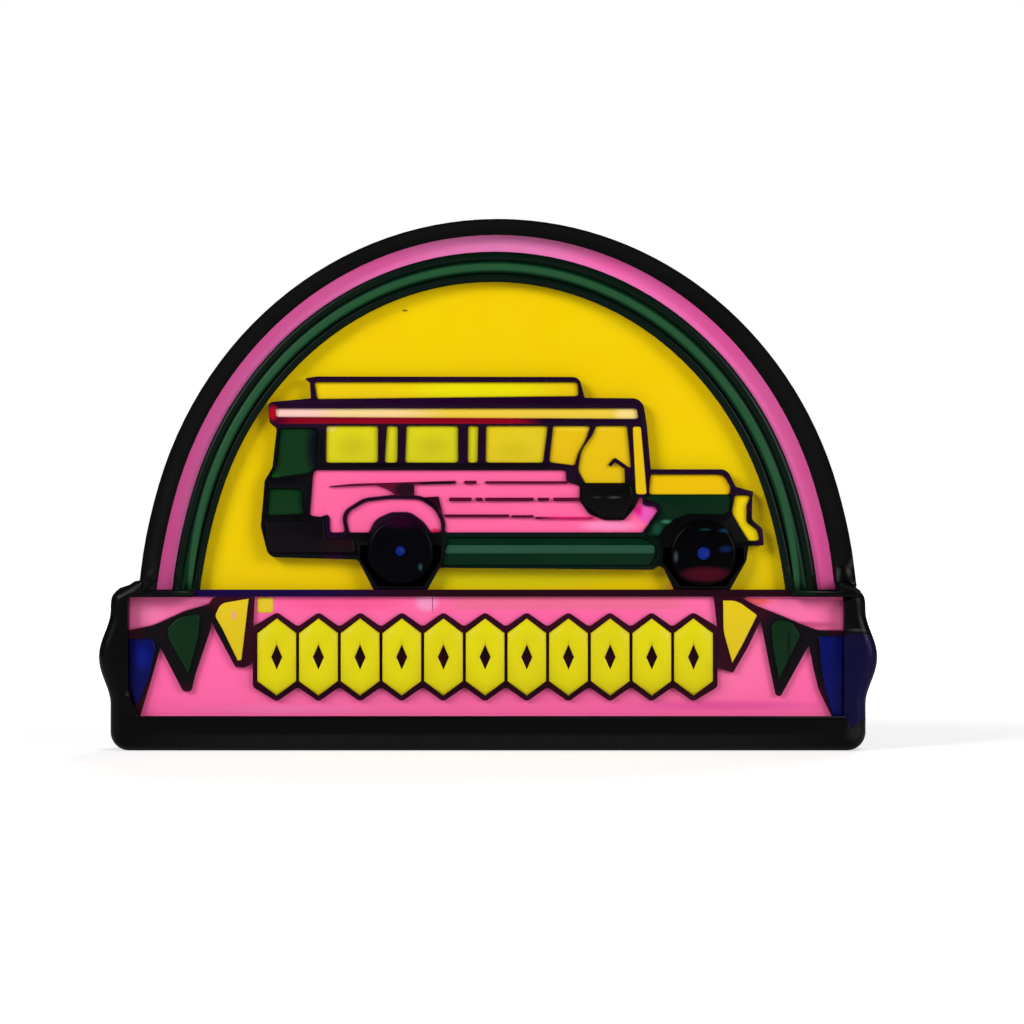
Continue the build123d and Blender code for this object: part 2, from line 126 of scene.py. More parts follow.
def softPvc(name, look):
    # look: colour and drift are the two shades of the pour, and tints are places where another colour bled
    # in, each an ellipse or a box: x, z, half width and half height in mm, colour, strength, softness, "box"
    finish = dict(pvcFinish, **look)
    material = clearNodes(bpy.data.materials.new(name))
    place = addNode(material, "ShaderNodeTexCoord")
    inMm = addNode(
        material,
        "ShaderNodeVectorMath",
        {"operation": "SCALE", "Scale": 1 / mm},
        {"Vector": place.outputs["Object"]},
    ).outputs["Vector"]
    noises = {}
    for size, detail in finish["details"].items():
        noises[size] = addNode(
            material, "ShaderNodeTexNoise", {"Scale": 1 / finish[size], "Detail": detail}, {"Vector": inMm}
        ).outputs["Fac"]
    drift = addNode(
        material,
        "ShaderNodeMapRange",
        {
            "From Min": finish["driftRange"][0],
            "From Max": finish["driftRange"][1],
            "interpolation_type": "SMOOTHSTEP",
        },
        {"Value": noises["driftSize"]},
    )
    colour = addNode(
        material,
        "ShaderNodeMix",
        {"data_type": "RGBA", 6: linearColour(finish["colour"]), 7: linearColour(finish["drift"])},
        {0: drift.outputs["Result"]},
    ).outputs[2]
    for x, z, halfWidth, halfHeight, tint, strength, softness, *boxed in finish.get("tints", []):
        inRadii = addNode(
            material,
            "ShaderNodeVectorMath",
            {
                "operation": "MULTIPLY_ADD",
                1: (1 / halfWidth, 0, 1 / halfHeight),
                2: (-x / halfWidth, 0, -z / halfHeight),
            },
            {0: inMm},
        )
        if boxed:
            sides = addNode(
                material, "ShaderNodeVectorMath", {"operation": "ABSOLUTE"}, {0: inRadii.outputs["Vector"]}
            )
            apart = addNode(material, "ShaderNodeSeparateXYZ", {}, {"Vector": sides.outputs["Vector"]})
            distance = addNode(
                material,
                "ShaderNodeMath",
                {"operation": "MAXIMUM"},
                {0: apart.outputs["X"], 1: apart.outputs["Z"]},
            )
        else:
            distance = addNode(
                material, "ShaderNodeVectorMath", {"operation": "LENGTH"}, {0: inRadii.outputs["Vector"]}
            )
        amount = addNode(
            material,
            "ShaderNodeMapRange",
            {
                "From Min": 1 - softness,
                "From Max": 1.0,
                "To Min": strength,
                "To Max": 0.0,
                "interpolation_type": "SMOOTHSTEP",
            },
            {"Value": distance.outputs["Value"]},
        )
        colour = addNode(
            material,
            "ShaderNodeMix",
            {"data_type": "RGBA", 7: linearColour(tint)},
            {0: amount.outputs["Result"], 6: colour},
        ).outputs[2]
    roughness = addNode(
        material,
        "ShaderNodeMapRange",
        {
            "From Min": finish["smudgeRange"][0],
            "From Max": finish["smudgeRange"][1],
            "To Min": finish["roughness"] - finish["roughnessDrift"],
            "To Max": finish["roughness"] + finish["roughnessDrift"],
        },
        {"Value": noises["smudgeSize"]},
    )
    sagBump = addNode(
        material,
        "ShaderNodeBump",
        {"Strength": 1.0, "Distance": finish["sagDepth"] * mm},
        {"Height": noises["sagSize"]},
    )
    peelBump = addNode(
        material,
        "ShaderNodeBump",
        {"Strength": 1.0, "Distance": finish["peelDepth"] * mm},
        {"Height": noises["peelSize"], "Normal": sagBump.outputs["Normal"]},
    )
    shader = addNode(
        material,
        "ShaderNodeBsdfPrincipled",
        {"IOR": finish["ior"], "Specular IOR Level": finish["specular"]},
        {
            "Base Color": colour,
            "Roughness": roughness.outputs["Result"],
            "Normal": peelBump.outputs["Normal"],
        },
    )
    addNode(material, "ShaderNodeOutputMaterial", {}, {"Surface": shader.outputs["BSDF"]})
    return material


roadZ = 16.5  # mm, the road under the tyres
pvc = {
    "black": softPvc(
        "semiGlossBlackPvc",
        {
            "colour": "#030304",
            "drift": "#050507",
            "tints": [
                (0.65, 15.6, 32.95, 35.9, "#03140b", 1.0, 0.01),
                (0, 8.0, 42.0, 8.0, "#030304", 1.0, 0.01, "box"),
                # painted sheen: a grey band along the bottom border and a grey patch at the right lower corner
                (0, 1.0, 38.5, 0.85, "#131314", 0.9, 0.4, "box"),
                (37.6, 1.9, 1.3, 1.5, "#1c1c1e", 0.9, 0.9),
                (38.5, 7.6, 2.1, 4.4, "#0a052d", 1.0, 0.06, "box"),
                # painted highlight: a thin grey line on the ledge above the navy
                (37.8, 12.4, 1.3, 0.22, "#3a3a40", 0.7, 0.9),
            ],
        },
    ),
    "lineWork": softPvc(
        "auberginePvcLines",
        {
            "colour": "#1e0022",
            "drift": "#18001c",
            "tints": [
                (-8.4, roadZ + 17.4, 14.4, 0.36, "#870019", 0.95, 0.25, "box"),
                (-22.1, roadZ + 18.2, 0.7, 1.0, "#b40020", 0.9, 0.7),
                (-20.2, roadZ + 9.0, 3.6, 7.9, "#040408", 1.0, 0.12, "box"),
                (-9.0, roadZ + 3.0, 6.2, 3.2, "#040306", 1.0, 0.15, "box"),
                (-9.0, roadZ + 7.0, 2.8, 1.1, "#1e001c", 0.8, 0.9),
                (22.0, roadZ + 3.4, 5.6, 4.7, "#020204", 1.0, 0.1, "box"),
                (6.5, roadZ + 4.3, 11.5, 2.4, "#021410", 1.0, 0.1, "box"),
                (12.2, roadZ + 9.2, 3.6, 2.4, "#060406", 1.0, 0.2, "box"),
                (-6.0, roadZ + 12.65, 15.0, 0.4, "#060006", 1.0, 0.3, "box"),
            ],
        },
    ),
    "boardLines": softPvc(
        "maroonPvcLines",
        {
            "colour": "#4a0020",
            "drift": "#5a0428",
            "tints": [
                (8.6, roadZ + 7.45, 3.6, 0.5, "#d0186c", 0.95, 0.6),
                (-8.4, roadZ + 10.3, 1.6, 1.0, "#1c0210", 0.95, 0.5),
                (-5.6, roadZ + 9.0, 1.2, 1.0, "#200210", 0.95, 0.4),
                (-5.2, roadZ + 11.0, 2.2, 0.3, "#0e0006", 0.95, 0.4),
            ],
        },
    ),
    "panelLines": softPvc(
        "darkPlumPvcSurround",
        {
            "colour": "#260016",
            "drift": "#300818",
            "tints": [
                (-33.4, 11.9, 0.6, 0.9, "#500a14", 0.9, 0.7),
                (-31.0, 11.0, 5.6, 5.2, "#050a0c", 0.9, 0.3),
                (31.5, 10.0, 4.8, 5.6, "#05080e", 0.9, 0.3),
            ],
        },
    ),
    "ground": softPvc("darkPlumPvc", {"colour": "#1e000c", "drift": "#240010", "tints": [
        (-30.0, 16.1, 24.0, 2.0, "#14003c", 1.0, 0.6),
    ]}),
    "tyre": softPvc(
        "tyreBlackPvc",
        {
            "colour": "#020204",
            "drift": "#030308",
            "specular": 0.04,
            "tints": [
                # painted glint: a teal-grey streak on the rear tyre
                (-6.95, roadZ + 2.35, 0.3, 0.5, "#2a4a52", 0.9, 0.9),
                (-9.0, roadZ + 7.0, 3.2, 1.0, "#26021e", 0.9, 0.9),
                # painted reflections on the front tyre: teal and blue streaks, a grey glint and a dark red
                # crescent low down
                (22.3, roadZ + 6.2, 0.8, 0.2, "#0c343c", 0.9, 0.9),
                (24.4, roadZ + 6.1, 1.0, 0.3, "#0c3450", 0.9, 0.9),
                (24.4, roadZ + 4.2, 0.9, 0.5, "#0a2450", 0.9, 0.9),
                (19.3, roadZ + 3.4, 0.35, 0.8, "#3e4648", 0.8, 0.9),
                (22.4, roadZ + 1.6, 3.3, 1.0, "#440a1c", 0.9, 0.6),
            ],
        },
    ),
    "bowl": softPvc(
        "bowlBlackPvc",
        {
            "colour": "#040405",
            "drift": "#060608",
            "tints": [
                # painted glints: two grey streaks across the step bowl
                (11.2, roadZ + 9.5, 0.7, 0.2, "#222426", 0.9, 0.9),
                (12.95, roadZ + 9.5, 1.0, 0.2, "#3a3e40", 0.9, 0.9),
            ],
        },
    ),
    "skirt": softPvc("skirtBlackPvc", {"colour": "#08060a", "drift": "#0a060a", "tints": [
        (-15.0, roadZ + 4.8, 3.5, 1.4, "#1e0812", 0.8, 0.9),
    ]}),
    "pink": softPvc(
        "rosePinkPvc",
        {
            "colour": "#ff689f",
            "drift": "#fa649d",
            "tints": [
                (12.6, roadZ + 6.6, 4.2, 0.8, "#fa8cc0", 0.9, 0.7),
                (16.3, roadZ + 7.9, 1.2, 1.3, "#ea5ab8", 1.0, 0.5),
                (15.5, roadZ + 8.2, 0.7, 1.0, "#e8148c", 0.9, 0.8),
                (15.4, roadZ + 9.3, 0.5, 0.7, "#c8324a", 0.7, 0.8),
                (9.2, roadZ + 7.3, 4.0, 0.35, "#ff4a90", 0.7, 0.8),
                (-5.4, roadZ + 6.0, 0.9, 0.5, "#d8003c", 0.9, 0.8),
            ],
        },
    ),
    "bandPink": softPvc(
        "bandPinkPvc",
        {
            "colour": "#ff64b2",
            "drift": "#fc6cb6",
            "tints": [
                (0.6, 15.6, 33.6, 36.6, "#ff7cc2", 0.8, 0.02),
                # painted reflection: the top of the band paler and greyer
                (2.0, 54.0, 17.0, 7.0, "#e884bc", 0.8, 0.8),
            ],
        },
    ),
    "panelPink": softPvc(
        "panelPinkPvc",
        {
            "colour": "#ff6ca8",
            "drift": "#ff66a6",
            "tints": [
                (22.0, 9.0, 15.0, 7.0, "#fc74a8", 0.8, 0.7),
                (24.0, 4.6, 14.0, 0.8, "#e0449c", 0.6, 0.9),
                (-15.0, 15.2, 8.5, 1.2, "#fa5a94", 0.8, 0.6),
                (-6.3, 15.3, 1.5, 1.4, "#f29ac8", 0.9, 0.6),
                (8.0, 15.3, 13.2, 0.9, "#ee6e94", 0.9, 0.2, "box"),
                (-5.72, 15.2, 0.1, 1.4, "#b43c78", 0.9, 0.8, "box"),
                (-20.0, 4.2, 12.0, 0.7, "#f47cb4", 0.6, 0.9),
            ],
        },
    ),
    "cornerPink": softPvc("cornerPinkPvc", {"colour": "#ff72aa", "drift": "#ff78b0", "tints": [
        (27.5, 15.4, 2.6, 0.9, "#e0502c", 0.8, 0.8),
        (33.0, 12.9, 4.0, 0.5, "#b03058", 0.6, 0.8),
        (-34.8, 14.0, 2.0, 1.4, "#f684b4", 0.6, 0.9),
    ]}),
    "bandGreen": softPvc(
        "bandGreenPvc",
        {
            "colour": "#032414",
            "drift": "#052a18",
            "tints": [
                # painted highlight: a lighter ring along the crest of the band, with painted shade on its
                # darker sides
                (0.57, 15.6, 31.62, 34.6, "#245030", 1.0, 0.008),
                (0.57, 15.6, 31.0, 33.95, "#03200f", 1.0, 0.01),
            ],
        },
    ),
    "flagGreen": softPvc("flagGreenPvc", {"colour": "#092812", "drift": "#0b2c16", "tints": [
        (30.9, 10.6, 0.28, 2.2, "#04140a", 0.8, 0.7),
    ]}),
    "bodyGreen": softPvc("bottleGreenPvc", {"colour": "#012312", "drift": "#022a16", "tints": [
        # painted highlight: teal-green streaks down the apron of the fender
        (18.4, roadZ + 7.0, 0.9, 0.3, "#3c7c66", 0.8, 0.9),
        (17.4, roadZ + 6.3, 0.8, 0.9, "#14503c", 0.7, 0.9),
    ]}),
    "rearGreen": softPvc("rearPanelGreenPvc", {"colour": "#0e3616", "drift": "#0a3016", "tints": [
        (-17.6, roadZ + 14.5, 1.7, 4.0, "#040c14", 1.0, 0.7),
        (-22.3, roadZ + 11.6, 1.3, 0.7, "#106018", 0.7, 0.9),
        (-18.9, roadZ + 9.0, 0.9, 2.0, "#05180e", 0.9, 0.8),
    ]}),
    # the ridge along the sill is the sill's own dark green, poured lighter here as a painted highlight
    "sillHighlightGreen": softPvc("sillRidgeHighlightPvc", {"colour": "#28503e", "drift": "#244a38"}),
    "sun": softPvc(
        "sunYellowPvc",
        {
            "colour": "#edcc00",
            "drift": "#efc800",
            "tints": [
                (2.0, roadZ + 1.1, 16.0, 1.3, "#d8cc08", 0.8, 0.6),
                (18.9, roadZ + 0.3, 0.9, 0.9, "#f0963c", 0.7, 0.9),
                (-11.9, roadZ + 0.2, 0.7, 0.6, "#f0963c", 0.7, 0.9),
                (26.6, roadZ + 1.4, 2.2, 1.6, "#e0c610", 0.7, 0.8),
                (-8.6, 45.3, 0.4, 0.16, "#5a4208", 0.85, 0.6),
            ],
        },
    ),
    "rack": softPvc("rackYellowPvc", {"colour": "#eac808", "drift": "#e8c40c", "tints": [
        (-1.0, roadZ + 20.5, 10.0, 1.4, "#e8e000", 0.9, 0.7),
    ]}),
    "nose": softPvc("noseYellowPvc", {"colour": "#ecd004", "drift": "#e8c808"}),
    "gold": softPvc("goldenYellowPvc", {"colour": "#e6c00a", "drift": "#e4bc10", "tints": [
        (9.9, roadZ + 16.6, 5.5, 0.4, "#ecd030", 0.7, 0.8),
    ]}),
    "bonnetGold": softPvc("bonnetGoldPvc", {"colour": "#e8bc04", "drift": "#e6b808"}),
    "lime": softPvc(
        "limeYellowPvc",
        {
            "colour": "#d8d018",
            "drift": "#d4cc1a",
            "tints": [
                # painted shade: the middle of windows 1 and 2 darker, as in a dished pour
                (-14.0, roadZ + 14.8, 2.6, 1.7, "#c6bc18", 0.9, 0.9),
                (-5.8, roadZ + 14.8, 2.6, 1.7, "#c6bc18", 0.9, 0.9),
                (-16.3, roadZ + 16.6, 1.0, 0.5, "#e8cc80", 0.6, 0.9),
            ],
        },
    ),
    "windowGold": softPvc("windowGoldPvc", {"colour": "#e2c81c", "drift": "#dfc420", "tints": [
        # painted shade: the middle of window 3 darker, as in a dished pour
        (2.6, roadZ + 14.4, 2.8, 1.4, "#d0bc14", 0.8, 0.9),
    ]}),
    "tile": softPvc("tileYellowPvc", {"colour": "#dfd410", "drift": "#dacd12"}),
    "cream": softPvc(
        "creamPvc",
        {
            "colour": "#f0d048",
            "drift": "#f0cc40",
            "tints": [
                # the strip is cream PVC; its pale left part, towards pinkish white, and its pale right end are
                # painted highlight along the rounded strip
                (-13.0, roadZ + 18.2, 9.5, 2.0, "#f8d898", 1.0, 0.7),
                (-20.0, roadZ + 18.2, 5.0, 2.0, "#ffcdc3", 1.0, 0.7),
                (14.4, roadZ + 18.2, 1.8, 2.0, "#fae08c", 0.9, 0.7),
            ],
        },
    ),
    "blue": softPvc("royalBluePvc", {"colour": "#08105e", "drift": "#060c54", "tints": [
        (-35.6, 9.6, 1.2, 1.8, "#0a1c82", 0.9, 0.9),
    ]}),
    "hub": softPvc("hubBluePvc", {"colour": "#0a207c", "drift": "#081c70"}),
    "navy": softPvc("navyPvc", {"colour": "#0a052d", "drift": "#0c0634"}),
    "panelEnd": softPvc("paleGoldPvc", {"colour": "#e8c828", "drift": "#e4c42c"}),
    "flagYellow": softPvc("flagYellowPvc", {"colour": "#e2c41a", "drift": "#dec020", "tints": [
        (-26.1, 13.9, 0.35, 0.7, "#f08c96", 0.8, 0.8),
    ]}),
}
print("materials:", len(pvc), "colours of soft PVC")

moulding = {
    "weld": 0.001,          # mm, corners closer than this are one
    "edgeAngle": 50,        # degrees, an edge sharper than this gets the mould's rounding
    "smoothAngle": 40,      # degrees, what is flatter than this shades as a curve
    "segments": 3,          # of a soft front edge
    "cornerSegments": 6,    # of an outline's rounded corner
    "lineSegments": 2,      # of the line work's edge
    "straight": 175,        # degrees, a corner flatter than this isn't rounded
    "cornerShare": 0.48,    # of the shorter side at a corner, the most that its rounding takes
    "level": 0.0001,        # mm, a corner as near to the front as this lies in it
}


def meshOf(name, shape):
    mesh = bpy.data.meshes.new(name)
    shape.to_mesh(mesh)
    shape.free()
    return mesh


def cutLevel(shape, z, clearBelow=False):
    # a row of new corners all round the shape, z mm up
    bmesh.ops.bisect_plane(
        shape,
        geom=shape.verts[:] + shape.edges[:] + shape.faces[:],
        plane_co=(0, 0, z * mm),
        plane_no=(0, 0, 1),
        clear_inner=clearBelow,
    )


def pullForward(shape, depth):
    # makes a closed slab of a flat outline
    pulled = bmesh.ops.extrude_face_region(shape, geom=shape.faces[:])
    pulledVerts = [item for item in pulled["geom"] if isinstance(item, bmesh.types.BMVert)]
    bmesh.ops.translate(shape, verts=pulledVerts, vec=(0, depth, 0))
    bmesh.ops.recalc_face_normals(shape, faces=shape.faces)


def finishedPiece(name, mesh, colour, replaced):
    mesh.materials.clear()
    mesh.materials.append(pvc[colour])
    mesh.polygons.foreach_set("use_smooth", [True] * len(mesh.polygons))
    mesh.set_sharp_from_angle(angle=radians(moulding["smoothAngle"]))
    piece = inScene(name, mesh)
    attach(piece, "root")
    if replaced:
        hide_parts(*replaced)


def addPad(shape, points, front, back, rounding=0.0, corner=0.0):
    # a poured pad with a soft front edge: (x, z) or (x, z, radius) corners in mm, front and back in metres
    pad = bmesh.new()
    verts = [pad.verts.new((point[0] * mm, back, point[1] * mm)) for point in points]
    pad.faces.new(verts)
    for vert, point in zip(verts, points):
        radius = point[2] if len(point) > 2 else corner
        one, other = [edge.other_vert(vert).co - vert.co for edge in vert.link_edges]
        turn = one.angle(other)
        if radius and turn < radians(moulding["straight"]):
            room = moulding["cornerShare"] * min(one.length, other.length)
            bmesh.ops.bevel(
                pad,
                geom=[vert],
                offset=min(radius * mm / tan(turn / 2), room),
                offset_type="ABSOLUTE",
                segments=moulding["cornerSegments"],
                profile=0.5,
                affect="VERTICES",
                material=-1,
            )
    pullForward(pad, front - back)
    if rounding:
        level = moulding["level"] * mm
        bmesh.ops.bevel(
            pad,
            geom=[edge for edge in pad.edges if all(abs(vert.co.y - front) < level for vert in edge.verts)],
            offset=rounding * mm,
            offset_type="OFFSET",
            segments=moulding["segments"],
            profile=0.5,
            affect="EDGES",
            material=-1,
            clamp_overlap=False,
        )
    onePad = meshOf("pad", pad)
    shape.from_mesh(onePad)
    bpy.data.meshes.remove(onePad)


def padMesh(name, outlines, front, back, rounding=0.0, corner=0.0):
    shape = bmesh.new()
    for points in outlines:
        addPad(shape, points, front, back, rounding, corner)
    return meshOf(name, shape)


def carved(name, solid, cuts, additions, rounding):
    # line work in one mesh: the solid less its cells, plus the strokes that cross them, and with a soft edge
    # where rounding gives one, in mm
    body = inScene(name + "Helper", solid)
    helpers = [body]
    for mesh, operation in ((cuts, "DIFFERENCE"), (additions, "UNION")):
        if mesh:
            helpers.append(inScene(name + "Helper", mesh))
            step = body.modifiers.new(operation.lower(), "BOOLEAN")
            step.operation = operation
            step.solver = "EXACT"
            step.use_self = True
            step.object = helpers[-1]
    if rounding:
        edge = body.modifiers.new("softEdge", "BEVEL")
        edge.width = rounding * mm
        edge.segments = moulding["lineSegments"]
        edge.limit_method = "ANGLE"
        edge.angle_limit = radians(moulding["edgeAngle"])
    result = bpy.data.meshes.new_from_object(body.evaluated_get(bpy.context.evaluated_depsgraph_get()))
    result.name = name
    for helper in helpers:
        bpy.data.objects.remove(helper)
    return result


def frontOf(node):
    # the camera looks along +Y, so the front has the lower y
    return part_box(node)[0].y


def backOf(node):
    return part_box(node)[1].y


# Rings of the arch as moulded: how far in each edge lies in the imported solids, and the middle, half width and
# rise of the ellipse that it follows on the object, where the inner rings stand a little further left
arch = {
    "middle": 0.6,          # mm, packed
    "halfWidth": 36.4,
    "rise": 39.1,
    "spring": 15.6,
    "insets": (0.0, 1.85, 3.35, 4.5, 5.6, 6.65),
    "middles": (1.0, 0.84, 0.7, 0.62, 0.53, 0.46),
    "halfWidths": (36.5, 34.5, 32.75, 31.8, 30.6, 29.7),
    "rises": (39.0, 37.45, 35.7, 34.75, 33.55, 32.65),
    "tolerance": 0.15,
    "foot": 15.75,          # mm, what is lower belongs to the base block
    "flare": 0.5,           # mm, how far the legs spread at the road
    "flareTop": 27.0,
    "flareMost": 1.1,       # of the way from there to the road, below which they spread no further
    "halvings": 24,         # steps of the search for a place's inset
}


def flared(x, z):
    # the legs of the arch spread a little towards the base
    below = max(arch["flareTop"] - z, 0) / (arch["flareTop"] - roadZ)
    return x + (1 if x > arch["middle"] else -1) * arch["flare"] * min(below, arch["flareMost"]) ** 2


def between(value, marks, results):
    # straight-line reading of a short table
    for i in range(len(marks) - 1):
        if value <= marks[i + 1] or i == len(marks) - 2:
            share = (value - marks[i]) / (marks[i + 1] - marks[i])
            return results[i] + share * (results[i + 1] - results[i])


def settleRing(x, z):
    # how far inside the rim a place lies, by halving, and where the moulded ring has it
    low, high = -arch["tolerance"], arch["insets"][-1] + arch["tolerance"]

    def beyond(inset):
        across = (x - arch["middle"]) / (arch["halfWidth"] - inset)
        return hypot(across, (z - arch["spring"]) / (arch["rise"] - inset)) - 1

    if z < arch["foot"] or beyond(low) > 0 or beyond(high) < 0:
        return x, z
    for step in range(arch["halvings"]):
        inset = (low + high) / 2
        if beyond(inset) < 0:
            low = inset
        else:
            high = inset
    angle = atan2(
        (z - arch["spring"]) / (arch["rise"] - inset), (x - arch["middle"]) / (arch["halfWidth"] - inset)
    )
    newZ = arch["spring"] + between(inset, arch["insets"], arch["rises"]) * sin(angle)
    newMiddle = between(inset, arch["insets"], arch["middles"])
    return flared(newMiddle + between(inset, arch["insets"], arch["halfWidths"]) * cos(angle), newZ), newZ


# Ends of the base block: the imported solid's side is straight from corner to corner, and the moulded one
# swells softly
block = {
    "heights": (0.0, 5.3, 9.6, 13.9, 16.1, 18.1),
    "sides": (38.8, 38.8, 40.0, 38.8, 38.5, 36.3),
    "inner": 37.0,          # mm, the panel's frame stays as it is inside this
    "flat": 38.8,
    "swell": 1.35,          # mm, how far the bulge stands out
    "swellMiddle": 9.6,
    "swellReach": 5.0,
    "shoulder": 14.6,       # mm, where the side starts to turn in
    "top": 18.1,
    "sink": 0.7,            # mm, how much lower the shoulder lies as moulded
    "sinkFade": 3.0,        # mm above the shoulder until the rim is back in place
    "sinkFrom": 34.6,       # mm from the middle, where the sinking starts
    "sinkFull": 35.6,
    "swellTrim": 0.15,      # mm, taken off the bulge's peak
    "shoulderTurn": 2.3,    # mm, how far in the side lies at the top
    "shoulderPower": 2.6,   # how late the turn comes on the way up
    "cutStep": 0.45,        # mm between the rows of corners that follow the curve
}


def mouldedSide(z):
    side = block["flat"]
    off = abs(z - block["swellMiddle"]) / block["swellReach"]
    if off < 1:
        side += block["swell"] * (0.5 + 0.5 * cos(pi * off)) - block["swellTrim"] * (1 - off)
    if z > block["shoulder"]:
        upward = (z - block["shoulder"]) / (block["top"] - block["shoulder"])
        side -= block["shoulderTurn"] * upward ** block["shoulderPower"]
    return side


def settleBlock(x, z):
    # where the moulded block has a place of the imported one
    if z > block["top"] + block["sinkFade"]:
        return x, z
    reach = abs(x)
    side = between(z, block["heights"], block["sides"])
    if reach > block["inner"] and side > block["inner"] and z < block["top"]:
        share = (reach - block["inner"]) / (side - block["inner"])
        reach = block["inner"] + min(share, 1.0) * (mouldedSide(z) - block["inner"])
    outward = min(max((reach - block["sinkFrom"]) / (block["sinkFull"] - block["sinkFrom"]), 0), 1)
    upward = (z - arch["foot"]) / (block["top"] - arch["foot"])
    if z > block["top"]:
        upward = 1 - (z - block["top"]) / block["sinkFade"]
    z -= block["sink"] * outward * max(upward, 0)
    return (reach if x > 0 else -reach), z


def settled(node, colour, cuts=()):
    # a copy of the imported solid, eased to the ellipses and the soft ends that the object shows
    shape = bmesh.new()
    shape.from_mesh(nodes[node].data)
    bmesh.ops.remove_doubles(shape, verts=shape.verts, dist=moulding["weld"] * mm)
    for height in cuts:
        cutLevel(shape, height)
    for vert in shape.verts:
        x, z = settleRing(vert.co.x / mm, vert.co.z / mm)
        if cuts:
            x, z = settleBlock(x, z)
        vert.co.x, vert.co.z = x * mm, z * mm
    finishedPiece(node + "Moulded", meshOf(node + "Moulded", shape), colour, [node])


cutCount = int(block["top"] / block["cutStep"])
settled("black_moulding", "black", [block["cutStep"] * (i + 1) for i in range(cutCount)])
settled("arch_band_pink", "bandPink")
settled("arch_band_green", "bandGreen")
print("arch and base block: moulded")

# Sun field: one half-ellipse pour under the drawing
sunField = {"segments": 240}
sunShape = bmesh.new()
bmesh.ops.create_circle(
    sunShape,
    cap_ends=True,
    segments=sunField["segments"],
    radius=1.0,
    matrix=Matrix.Rotation(pi / 2, 4, "X"),
)
bmesh.ops.scale(
    sunShape, verts=sunShape.verts, vec=(arch["halfWidths"][-1] * mm, 1, arch["rises"][-1] * mm)
)
bmesh.ops.translate(
    sunShape, verts=sunShape.verts, vec=(arch["middles"][-1] * mm, backOf("sun_field"), arch["spring"] * mm)
)
cutLevel(sunShape, roadZ, clearBelow=True)
for vert in sunShape.verts:
    vert.co.x = flared(vert.co.x / mm, vert.co.z / mm) * mm
pullForward(sunShape, frontOf("sun_field") - backOf("sun_field"))
sunMesh = meshOf("sunFieldPoured", sunShape)
finishedPiece("sunFieldPoured", sunMesh, "sun", ["sun_field"])
print("sun field: poured")

# Jeepney: each colour fill as (x, height above the road), with the radius of a softer corner where it has one
drawing = {
    "windowLow": 13.05,
    "windowHigh": 16.9,
    "bodyLow": 5.85,
    "bonnetLow": 9.8,
    "sillLow": 2.45,
    "sillHigh": 5.45,
    "stripeLow": 3.7,
    "stripeHigh": 4.6,
    "corner": 0.28,         # mm, where a corner names no radius
    "edge": 0.12,           # mm, rounding of a fill's front edge
    "lineEdge": 0.07,
    "markEdge": 0.04,
    "markCorner": 0.08,
    # mm that a fill is poured fuller than packed, by the start of its name
    "lifts": {"window": 0.42, "driver": 0.42, "windscreen": 0.3, "sill_": 0.05},
}
windowLow, windowHigh = drawing["windowLow"], drawing["windowHigh"]
bodyLow, bonnetLow = drawing["bodyLow"], drawing["bonnetLow"]
sillLow, sillHigh = drawing["sillLow"], drawing["sillHigh"]
stripeLow, stripeHigh = drawing["stripeLow"], drawing["stripeHigh"]
